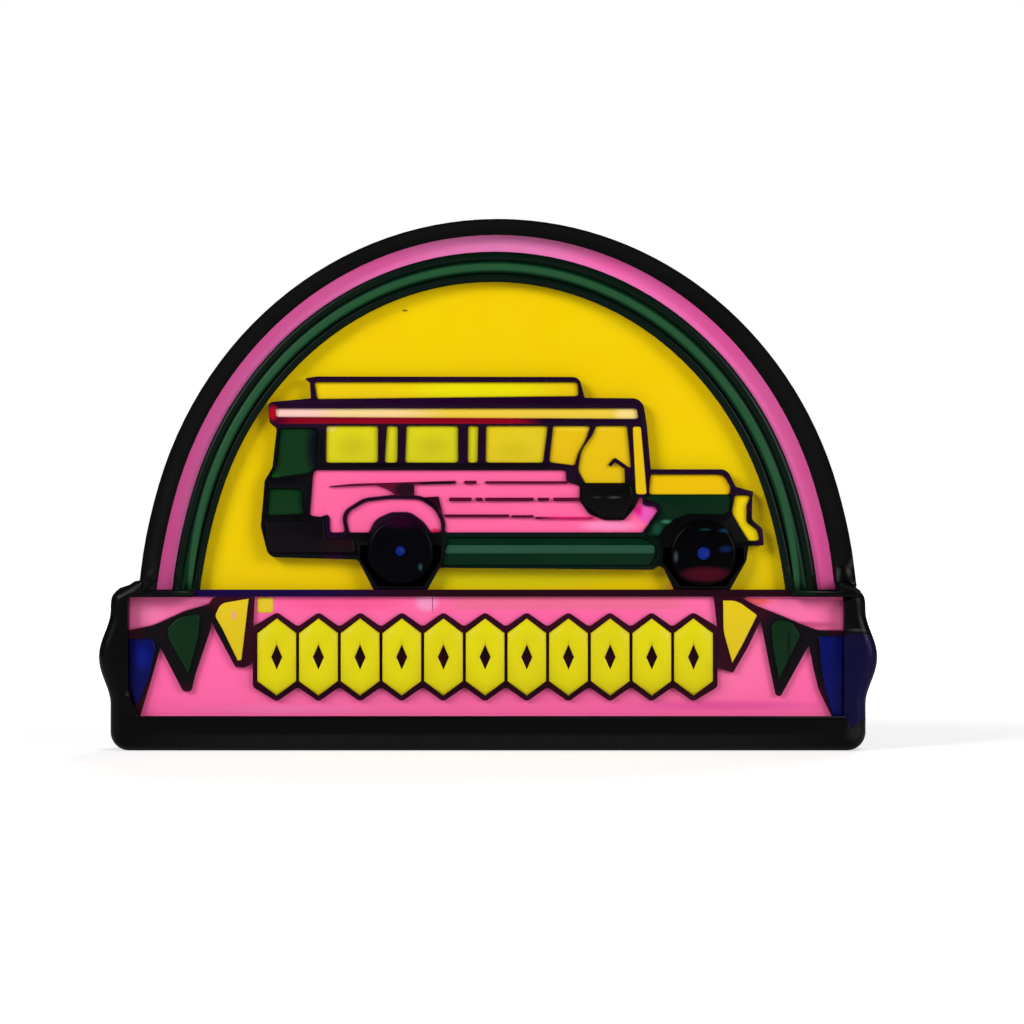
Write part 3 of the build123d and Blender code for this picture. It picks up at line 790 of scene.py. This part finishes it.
cells = {
    # node: colour, slot, corners
    "roof_rack_infill": (
        "rack",
        "sun_yellow_pvc",
        [(-17.95, 21.4), (9.25, 21.4), (9.35, 19.9), (-17.65, 19.6)],
    ),
    "roof_strip": ("cream", "cream_pvc", [(-21.95, 18.7), (15.35, 18.7), (15.55, 17.55), (-21.9, 17.75)]),
    "rear_panel_upper": (
        "rearGreen",
        "dark_green_pvc",
        [
            (-21.45, 16.65),
            (-17.5, 16.65),
            (-17.6, 12.5, 0.6),
            (-18.5, 11.95),
            (-22.6, 11.4, 0.3),
            (-21.8, 12.9, 2.0),
        ],
    ),
    "rear_panel_lower": (
        "rearGreen",
        "dark_green_pvc",
        [(-22.6, 10.45), (-19.3, 10.45, 0.6), (-18.95, 9.6), (-18.9, 7.75), (-22.8, 7.6)],
    ),
    "rear_skirt": (
        "skirt",
        "black_pvc",
        [
            (-23.0, 7.0),
            (-18.9, 7.1),
            (-16.9, 7.3),
            (-16.75, 5.3),
            (-13.9, 5.3),
            (-13.6, 3.8),
            (-22.6, 3.8, 0.8),
        ],
    ),
    "window_1": (
        "lime",
        "lime_yellow_pvc",
        [(-16.7, windowHigh), (-11.3, windowHigh), (-11.3, windowLow), (-16.75, windowLow)],
    ),
    "window_slat_1": (
        "lime",
        "lime_yellow_pvc",
        [(-10.45, windowHigh), (-9.25, windowHigh), (-9.3, windowLow), (-10.7, windowLow)],
    ),
    "window_2": (
        "lime",
        "lime_yellow_pvc",
        [(-8.45, windowHigh), (-3.05, windowHigh), (-3.05, windowLow), (-8.6, windowLow)],
    ),
    "window_slat_2": (
        "lime",
        "lime_yellow_pvc",
        [(-2.1, windowHigh), (-0.95, windowHigh), (-1.05, windowLow), (-2.15, windowLow)],
    ),
    "window_3": (
        "windowGold",
        "lime_yellow_pvc",
        [(-0.25, windowHigh), (6.2, windowHigh), (5.7, windowLow), (-0.3, windowLow)],
    ),
    "window_4": (
        "gold",
        "lime_yellow_pvc",
        [
            (6.65, windowHigh),
            (10.6, windowHigh),
            (10.1, 15.4, 3.0),
            (9.3, 14.0, 3.0),
            (8.95, 12.75),
            (6.25, 13.1),
        ],
    ),
    "driver_opening": (
        "gold",
        "lime_yellow_pvc",
        [
            (11.1, windowHigh),
            (14.35, windowHigh),
            (14.75, 12.6),
            (14.2, 10.95),
            (9.95, 10.95),
            (9.2, 12.3, 1.0),
            (9.55, 14.4, 2.5),
            (10.7, 15.9, 2.0),
        ],
    ),
    "windscreen_pillar": (
        "gold",
        "sun_yellow_pvc",
        [(14.85, 16.8), (15.75, 16.8), (16.1, 12.8), (16.35, bonnetLow), (15.2, bonnetLow), (15.05, 12.8)],
    ),
    "bonnet": (
        "bonnetGold",
        "sun_yellow_pvc",
        [(16.7, 11.9), (24.2, 11.9, 0.9), (25.0, 10.6, 0.6), (24.95, bonnetLow), (16.5, bonnetLow)],
    ),
    "front_fender": (
        "bodyGreen",
        "dark_green_pvc",
        [
            (15.95, bonnetLow),
            (25.1, bonnetLow),
            (25.0, 8.0),
            (24.2, 7.65),
            (20.7, 7.75, 1.0),
            (19.2, 7.2, 1.0),
            (18.2, 6.3, 1.0),
            (17.7, sillHigh),
            (15.9, sillHigh),
            (17.75, 8.2),
            (17.4, 8.9),
            (16.1, 9.2),
        ],
    ),
    "nose": (
        "nose",
        "sun_yellow_pvc",
        [
            (25.4, 9.75),
            (27.1, 9.75),
            (26.65, 8.6, 0.6),
            (26.65, 6.95, 0.5),
            (27.75, 6.1, 0.6),
            (28.0, 5.0),
            (26.8, 5.0),
            (26.1, 6.1, 1.0),
            (25.05, 7.9, 1.0),
        ],
    ),
    "step_bowl": (
        "bowl",
        "black_pvc",
        [
            (9.75, 10.75),
            (14.7, 10.75),
            (14.95, 9.3, 1.0),
            (14.0, 7.35, 0.7),
            (11.6, 7.45, 1.5),
            (9.65, 9.0, 1.0),
        ],
    ),
    "side_body": (
        "pink",
        "pink_pvc",
        [
            (-17.9, 12.35, 0.4),
            (8.05, 12.35),
            (8.1, 11.15),
            (9.5, 10.7),
            (9.45, 9.2),
            (10.4, 7.8, 0.6),
            (12.0, 7.2, 0.6),
            (14.0, 7.2),
            (15.05, 8.4),
            (15.6, 9.6),
            (15.9, 9.5),
            (15.95, 8.7),
            (17.1, 8.6),
            (17.5, 8.1),
            (15.95, bodyLow),
            (-4.5, bodyLow),
            (-4.45, 7.0, 1.5),
            (-5.3, 8.6, 2.0),
            (-6.8, 9.65, 2.0),
            (-10.0, 9.7, 4.0),
            (-12.75, 9.4, 2.0),
            (-15.05, 7.95, 1.3),
            (-14.7, bodyLow),
            (-16.3, bodyLow),
            (-16.4, 7.8),
            (-17.2, 7.45),
            (-18.4, 7.6),
            (-18.1, 11.6),
        ],
    ),
    "rear_fender": (
        "pink",
        "pink_pvc",
        [
            (-14.35, bodyLow),
            (-14.75, 7.8, 1.3),
            (-12.6, 9.1, 2.0),
            (-10.0, 9.4, 4.0),
            (-7.0, 9.35, 2.0),
            (-5.5, 8.3, 2.0),
            (-4.8, 7.0, 1.5),
            (-4.8, bodyLow),
            (-5.9, bodyLow),
            (-6.7, 7.0, 2.0),
            (-8.0, 7.95, 1.6),
            (-10.0, 7.95, 1.6),
            (-11.6, 7.2, 1.6),
            (-12.2, bodyLow),
        ],
    ),
    "sill": (
        "bodyGreen",
        "dark_green_pvc",
        [
            (-4.2, sillHigh),
            (16.0, sillHigh),
            (17.3, stripeHigh),
            (17.35, 3.5),
            (16.8, sillLow),
            (-4.8, sillLow),
        ],
    ),
    "sill_stripe": (
        "sillHighlightGreen",
        "dark_green_pvc",
        [(-4.3, stripeHigh), (17.2, stripeHigh), (17.3, stripeLow), (-4.6, stripeLow)],
    ),
}
silhouette = [
    # outer edge of the drawing, clockwise from the tip of the roof rack
    (-18.9, 21.75, 0.1),
    (-17.6, 21.95, 0.2),
    (9.35, 21.9, 0.8),
    (9.95, 19.75, 0.1),
    (15.9, 19.7, 1.2),
    (16.35, 16.9, 0.5),
    (16.75, 12.4, 0.1),
    (24.6, 12.4, 1.0),
    (25.5, 10.6, 0.3),
    (27.3, 10.1, 0.1),
    (27.2, 9.5, 0.1),
    (27.15, 7.2, 0.5),
    (28.25, 6.3, 0.6),
    (28.4, 4.55, 0.2),
    (26.8, 4.5, 0.1),
    (26.6, 3.0, 1.0),
    (24.9, 0.0, 0.1),
    (19.15, 0.0, 0.1),
    (18.1, 2.2, 0.4),
    (17.6, 2.45, 0.3),
    (16.9, 2.05, 0.1),
    (-5.0, 2.25, 0.3),
    (-6.25, 0.0, 0.1),
    (-11.8, 0.0, 0.1),
    (-13.4, 3.1, 0.5),
    (-22.6, 3.35, 1.0),
    (-23.4, 6.5, 1.0),
    (-23.0, 11.2, 0.2),
    (-22.2, 12.6, 1.0),
    (-21.75, 16.6, 0.3),
    (-22.5, 17.2, 0.4),
    (-22.6, 19.3, 0.4),
    (-18.25, 19.7, 0.1),
    (-18.35, 21.3, 0.1),
]
boardMarks = [
    # left, right, height and thickness of the dashes that part the side's boards
    (-2.45, -1.2, 11.05, 0.34),
    (-0.3, 8.2, 11.05, 0.26),
    (-4.0, -1.7, 9.3, 0.38),
    (-1.3, -0.6, 9.3, 0.36),
    (-0.3, 4.7, 9.3, 0.36),
    (5.1, 6.3, 9.3, 0.34),
    (6.7, 9.6, 9.3, 0.36),
    (-4.5, 2.15, 7.6, 0.3),
    (2.4, 4.7, 7.55, 0.26),
    (4.9, 10.8, 7.4, 0.22),
]
wedges = [
    # shadow line that swells towards the boards, and the block beyond the fender
    [
        (-16.3, 10.66),
        (-14.0, 10.9),
        (-11.5, 10.98),
        (-3.3, 11.22),
        (-3.3, 10.9),
        (-7.6, 10.82),
        (-7.6, 9.6),
        (-9.4, 9.6),
        (-10.2, 10.25, 1.0),
        (-11.5, 10.76, 1.0),
        (-16.3, 10.56),
    ],
    [(-6.9, 9.5), (-5.1, 9.6), (-4.6, 7.5), (-5.5, 8.5)],
]
strokes = [
    # x and height of each end and the width: what crosses the driver's opening
    (12.5, 12.75, 13.1, 13.45, 0.35),
    (13.0, 13.4, 14.3, 12.5, 0.4),
    (14.4, 12.6, 14.5, 10.2, 0.75),
]


def onRoad(points):
    return [(point[0], roadZ + point[1], *point[2:]) for point in points]


def stroke(x0, z0, x1, z1, width):
    # a bar from end to end
    length = hypot(x1 - x0, z1 - z0)
    sideX, sideZ = (z1 - z0) / length * width / 2, (x0 - x1) / length * width / 2
    return [
        (x0 + sideX, z0 + sideZ),
        (x1 + sideX, z1 + sideZ),
        (x1 - sideX, z1 - sideZ),
        (x0 - sideX, z0 - sideZ),
    ]


through = 0.3 * mm  # how far a cutter runs past what it cuts
lineFront, lineBack = frontOf("jeepney_lines"), backOf("jeepney_lines")
cellOutlines = [onRoad(corners) for colour, slot, corners in cells.values()]
carvedLines = carved(
    "jeepneyLinesCarved",
    padMesh("drawing", [onRoad(silhouette)], lineFront, lineBack),
    padMesh("cells", cellOutlines, lineFront - through, lineBack + through, 0.0, drawing["corner"]),
    padMesh("strokes", [onRoad(stroke(*ends)) for ends in strokes], lineFront, lineBack),
    drawing["lineEdge"],
)
finishedPiece("jeepneyLinesCarved", carvedLines, "lineWork", ["jeepney_lines"])
for node, (colour, slot, corners) in cells.items():
    lift = sum(value for start, value in drawing["lifts"].items() if node.startswith(start)) * mm
    fill = padMesh(
        node + "Fill",
        [onRoad(corners)],
        frontOf(node) - lift,
        backOf(node),
        drawing["edge"],
        drawing["corner"],
    )
    finishedPiece(node + "Fill", fill, colour, [node])
marks = [onRoad(stroke(left, z, right, z, thick)) for left, right, z, thick in boardMarks]
marks += [onRoad(points) for points in wedges]
boards = padMesh(
    "boardMarks", marks, lineFront, frontOf("side_body") + through, drawing["markEdge"], drawing["markCorner"]
)
finishedPiece("boardMarks", boards, "boardLines", [])
for side in ("rear", "front"):
    settled("tyre_" + side, "tyre")
    settled("hub_" + side, "hub")
print("jeepney:", len(cells), "fills,", len(boardMarks), "board marks")

# Base panel: a pink pour, dark surrounds on it, and the bunting and the tiles in the surrounds
panel = {
    "left": -36.9,
    "right": 36.5,
    "low": 3.4,
    "top": 15.8,
    "edge": 0.12,           # mm, rounding of a fill's front edge
    "cornerLift": 0.05,     # mm, how far the corner pieces stand out of the pink
    "endLift": 0.06,        # mm, how far the pale end piece does
    "endCorner": 0.3,
}
left, right, low, top = panel["left"], panel["right"], panel["low"], panel["top"]


def fromLeft(points):
    # each point is given by its distance from the panel's left end and its drop below the panel's top
    return [(left + point[0], top - point[1], *point[2:]) for point in points]


def fromRight(points):
    return [(right - point[0], top - point[1], *point[2:]) for point in points]


cornerPieces = {
    "corner_left": fromLeft(
        [(0, 0), (8.7, 0), (8.3, 0.75, 0.4), (5.8, 1.45, 4.0), (2.5, 2.95, 4.0), (0, 3.45)]
    ),
    "corner_right": fromRight(
        [(0.1, 0.35), (10.4, 0.1), (9.0, 0.9, 3.0), (6.95, 1.7), (4.3, 2.8), (2.6, 3.45, 2.0), (0, 3.5)]
    ),
}
flags = {
    "flag_blue_left": (
        "blue",
        "blue_pvc",
        fromLeft(
            [(0, 4.35), (2.5, 4.35, 0.5), (2.75, 5.3, 0.5), (2.1, 8.2, 5.0)]
            + [(1.1, 10.6), (0.6, 11.2), (0, 8.6)]
        ),
    ),
    "flag_green_left": (
        "flagGreen",
        "green_pvc",
        fromLeft(
            [(4.0, 3.25, 0.2), (5.1, 2.15, 1.0), (7.3, 1.75, 0.3)]
            + [(7.1, 4.2, 4.0), (6.1, 8.0), (4.0, 4.2, 0.5)]
        ),
    ),
    "flag_yellow_left": (
        "flagYellow",
        "sun_yellow_pvc",
        fromLeft(
            [(8.85, 2.0, 0.5), (9.4, 0.7, 1.0), (12.3, 0.2), (11.55, 6.5), (11.2, 6.6), (9.6, 3.3, 3.0)]
        ),
    ),
    "flag_yellow_right": (
        "flagYellow",
        "sun_yellow_pvc",
        fromRight(
            [(12.35, 0.4), (10.9, 0.4, 2.0), (8.85, 1.9, 0.2)]
            + [(10.3, 4.8, 5.0), (11.4, 6.8), (12.3, 3.6, 4.0)]
        ),
    ),
    "flag_green_right": (
        "flagGreen",
        "green_pvc",
        fromRight(
            [
                (7.4, 3.0, 0.5),
                (6.7, 2.4, 0.5),
                (5.3, 2.65, 0.8),
                (4.4, 4.0, 0.6),
                (5.6, 6.4, 3.0),
                (6.6, 8.5),
                (7.2, 5.5, 3.0),
            ]
        ),
    ),
    "flag_blue_right": (
        "blue",
        "blue_pvc",
        fromRight([(2.5, 4.1), (0, 4.1), (0, 12.3), (1.05, 12.3), (1.9, 9.5, 9.0), (2.3, 6.9)]),
    ),
}
surrounds = [
    # dark surrounds of the flags, with a peak of pink between them, and the strings under the corner pieces
    fromLeft([(0, 3.3), (2.6, 2.8), (3.2, 5.2), (2.3, 8.4, 5.0), (1.1, 12.35), (0, 12.35)]),
    fromLeft(
        [(2.6, 2.6), (3.2, 5.2), (5.55, 9.75, 0.4), (6.4, 9.75, 0.4), (6.8, 8.0), (8.3, 3.55), (8.9, 0.1)]
    ),
    fromLeft(
        [(0, 3.2), (2.5, 2.7), (5.8, 1.2), (8.3, 0.5), (9.6, 0.0)]
        + [(9.4, 0.7), (8.4, 1.4), (5.9, 2.2), (2.6, 3.6), (0, 4.1)]
    ),
    fromLeft(
        [(8.3, 2.1, 0.6), (9.0, 0.0), (12.9, 0.0), (12.6, 6.9), (11.9, 7.3), (10.9, 7.2), (8.9, 3.5, 3.0)]
    ),
    fromRight(
        [(13.3, 0.0), (10.0, 0.0), (8.2, 1.9, 0.4), (9.8, 5.2, 5.0), (11.3, 7.8), (12.8, 7.4), (12.9, 3.6)]
    ),
    fromRight(
        [(8.9, 0.9), (8.3, 3.35), (7.4, 7.9, 3.0), (6.9, 10.2, 0.3)]
        + [(6.4, 10.2, 0.3), (3.5, 4.95), (2.9, 2.9)]
    ),
    fromRight(
        [(0, 3.3), (2.9, 3.0), (3.5, 4.95), (3.1, 7.1, 5.0), (2.5, 9.6, 5.0), (1.15, 12.35), (0, 12.35)]
    ),
    fromRight(
        [(0, 3.3), (2.6, 3.2), (4.3, 2.5), (6.95, 1.4), (9.0, 0.6), (10.8, 0.0)]
        + [(10.2, 0.9), (7.0, 2.3), (4.4, 3.5), (2.6, 4.1), (0, 4.2)]
    ),
]
tiles = {
    "count": 11,
    "middle": -0.3,         # mm, of the whole row
    "pitch": 4.28,
    "height": 9.6,          # mm up to the middle of a tile
    "peak": 4.6,            # mm from there to a peak of the dark surround
    "valley": 3.1,          # mm from there to the notches between the peaks
    "margin": 0.35,
    "corner": 0.5,
}
halfRow = tiles["count"] * tiles["pitch"] / 2
ornamentTop = []
for i in range(tiles["count"]):
    tileMiddle = tiles["middle"] - halfRow + (i + 0.5) * tiles["pitch"]
    ornamentTop += [(tileMiddle - tiles["pitch"] / 2, tiles["valley"]), (tileMiddle, tiles["peak"])]
ornamentTop[0] = (ornamentTop[0][0] - tiles["margin"], tiles["valley"])
ornamentTop.append((tiles["middle"] + halfRow + tiles["margin"], tiles["valley"]))
surrounds.append(
    [(x, tiles["height"] + z, tiles["corner"]) for x, z in ornamentTop]
    + [(x, tiles["height"] - z, tiles["corner"]) for x, z in reversed(ornamentTop)]
)
pinkFront, pinkBack = frontOf("panel_lower"), backOf("panel_lower")
pinkCorners = [(left, low), (right, low), (right, top), (left, top)]
pinkMesh = padMesh("panelPinkPoured", [pinkCorners], pinkFront, pinkBack)
finishedPiece("panelPinkPoured", pinkMesh, "panelPink", ["panel_lower", "panel_top"])
surroundFront = frontOf("panel_lines")
carvedSurrounds = carved(
    "panelLinesCarved",
    padMesh("surrounds", surrounds, surroundFront, backOf("panel_lines")),
    padMesh("corners", list(cornerPieces.values()), surroundFront - through, pinkBack + through),
    None,
    0.0,
)
finishedPiece("panelLinesCarved", carvedSurrounds, "panelLines", ["panel_lines"])
for node, corners in cornerPieces.items():
    cornerFront = pinkFront - panel["cornerLift"] * mm
    cornerMesh = padMesh(node + "Fill", [corners], cornerFront, pinkBack, panel["edge"])
    finishedPiece(node + "Fill", cornerMesh, "cornerPink", [node])
for node, (colour, slot, corners) in flags.items():
    flagMesh = padMesh(node + "Fill", [corners], frontOf(node), backOf(node), panel["edge"])
    finishedPiece(node + "Fill", flagMesh, colour, [node])
endCorners = [(-23.8, 15.75), (-22.1, 15.75), (-22.1, 14.1), (-23.8, 14.1)]
endFront = pinkFront - panel["endLift"] * mm
endMesh = padMesh("panelEndFill", [endCorners], endFront, pinkBack, panel["edge"], panel["endCorner"])
finishedPiece("panelEndFill", endMesh, "panelEnd", ["panel_end"])
settled("ornament_tiles", "tile")
settled("ground_line", "ground")
navyFlag = {"lowestCut": 2.5, "cuts": 22}  # mm up, and how many rows of corners from there
navyCuts = [navyFlag["lowestCut"] + block["cutStep"] * i for i in range(navyFlag["cuts"])]
settled("flag_navy_right", "navy", navyCuts)
print("base panel:", len(flags), "flags,", tiles["count"], "tiles")

# Magnet sheet: ferrite powder bound in rubber, calendered, so it is dull and faintly streaked along the roll
sheetLook = {
    "colour": "#2b2a29",
    "streak": "#232221",
    "streakWidth": 0.6,     # mm
    "streakLength": 30.0,
    "streakDetail": 4.0,
    "streakDepth": 0.01,    # mm
    "streakStrength": 0.6,
    "roughness": 0.62,
}
magnetSheet = clearNodes(bpy.data.materials.new("calenderedMagnetSheet"))
sheetPlace = addNode(magnetSheet, "ShaderNodeTexCoord")
sheetMapping = addNode(
    magnetSheet,
    "ShaderNodeMapping",
    {"Scale": (1 / (sheetLook["streakLength"] * mm), 1 / mm, 1 / (sheetLook["streakWidth"] * mm))},
    {"Vector": sheetPlace.outputs["Object"]},
)
sheetStreaks = addNode(
    magnetSheet,
    "ShaderNodeTexNoise",
    {"Scale": 1.0, "Detail": sheetLook["streakDetail"]},
    {"Vector": sheetMapping.outputs["Vector"]},
)
sheetColour = addNode(
    magnetSheet,
    "ShaderNodeMix",
    {"data_type": "RGBA", 6: linearColour(sheetLook["colour"]), 7: linearColour(sheetLook["streak"])},
    {0: sheetStreaks.outputs["Fac"]},
)
sheetBump = addNode(
    magnetSheet,
    "ShaderNodeBump",
    {"Strength": sheetLook["streakStrength"], "Distance": sheetLook["streakDepth"] * mm},
    {"Height": sheetStreaks.outputs["Fac"]},
)
sheetShader = addNode(
    magnetSheet,
    "ShaderNodeBsdfPrincipled",
    {"Roughness": sheetLook["roughness"]},
    {"Base Color": sheetColour.outputs[2], "Normal": sheetBump.outputs["Normal"]},
)
addNode(magnetSheet, "ShaderNodeOutputMaterial", {}, {"Surface": sheetShader.outputs["BSDF"]})
nodes["magnet_sheet"].data.materials.clear()
nodes["magnet_sheet"].data.materials.append(magnetSheet)
print("magnet sheet: dressed")

# Floor: a white sweep that shows white to the lens far away and keeps a faint shadow near the magnet
floorLook = {"size": 3.0, "colour": "#e6e6e6", "near": 60, "far": 260, "glowNear": 0.45, "glowFar": 1.0}
floorShape = bmesh.new()
bmesh.ops.create_grid(floorShape, x_segments=1, y_segments=1, size=floorLook["size"])
floorMesh = meshOf("studioFloor", floorShape)
floor = inScene("studioFloor", floorMesh)
floorPaper = clearNodes(bpy.data.materials.new("whiteSweepPaper"))
paperDiffuse = addNode(floorPaper, "ShaderNodeBsdfDiffuse", {"Color": linearColour(floorLook["colour"])})
paperGlow = addNode(floorPaper, "ShaderNodeEmission", {"Color": (1, 1, 1, 1)})
paperPlace = addNode(floorPaper, "ShaderNodeTexCoord")
paperDistance = addNode(
    floorPaper, "ShaderNodeVectorMath", {"operation": "LENGTH"}, {0: paperPlace.outputs["Object"]}
)
paperFade = addNode(
    floorPaper,
    "ShaderNodeMapRange",
    {
        "From Min": floorLook["near"] * mm,
        "From Max": floorLook["far"] * mm,
        "To Min": floorLook["glowNear"],
        "To Max": floorLook["glowFar"],
    },
    {"Value": paperDistance.outputs["Value"]},
)
lightPath = addNode(floorPaper, "ShaderNodeLightPath")
glowAmount = addNode(
    floorPaper,
    "ShaderNodeMath",
    {"operation": "MULTIPLY"},
    {0: lightPath.outputs["Is Camera Ray"], 1: paperFade.outputs["Result"]},
)
floorPaper.node_tree.links.new(glowAmount.outputs["Value"], paperGlow.inputs["Strength"])
paperSum = addNode(
    floorPaper, "ShaderNodeAddShader", {}, {0: paperDiffuse.outputs["BSDF"], 1: paperGlow.outputs["Emission"]}
)
addNode(floorPaper, "ShaderNodeOutputMaterial", {}, {"Surface": paperSum.outputs["Shader"]})
floorMesh.materials.append(floorPaper)

# World: dim room light, white where the lens sees past the floor
room = {"level": 0.08}
world = clearNodes(bpy.data.worlds.new("studioRoom"))
bpy.context.scene.world = world
roomPath = addNode(world, "ShaderNodeLightPath")
roomLevel = addNode(
    world,
    "ShaderNodeMapRange",
    {"To Min": room["level"], "To Max": 1.0},
    {"Value": roomPath.outputs["Is Camera Ray"]},
)
roomLight = addNode(
    world, "ShaderNodeBackground", {"Color": (1, 1, 1, 1)}, {"Strength": roomLevel.outputs["Result"]}
)
addNode(world, "ShaderNodeOutputWorld", {}, {"Surface": roomLight.outputs["Background"]})

# Soft boxes, each aimed at the middle of the magnet and well to the side, so that flat faces don't mirror
# them: place and size in mm, power in watts
aimHeight = 25  # mm
softBoxes = {
    "keySoftBox": {"place": (-380, -330, 300), "size": 260, "power": 2.3},
    "fillSoftBox": {"place": (420, -330, 200), "size": 280, "power": 1.85},
    "backSoftBox": {"place": (120, 420, 360), "size": 300, "power": 1.4},
}
aim = Vector((0, 0, aimHeight * mm))
for name, box in softBoxes.items():
    lamp = bpy.data.lights.new(name, "AREA")
    lamp.shape = "SQUARE"
    lamp.size = box["size"] * mm
    lamp.energy = box["power"]
    softBox = inScene(name, lamp)
    softBox.location = [value * mm for value in box["place"]]
    softBox.rotation_euler = (aim - softBox.location).to_track_quat("-Z", "Y").to_euler()
print("studio: floor, room and", len(softBoxes), "soft boxes")

bpy.context.scene.view_settings.view_transform = "Standard"
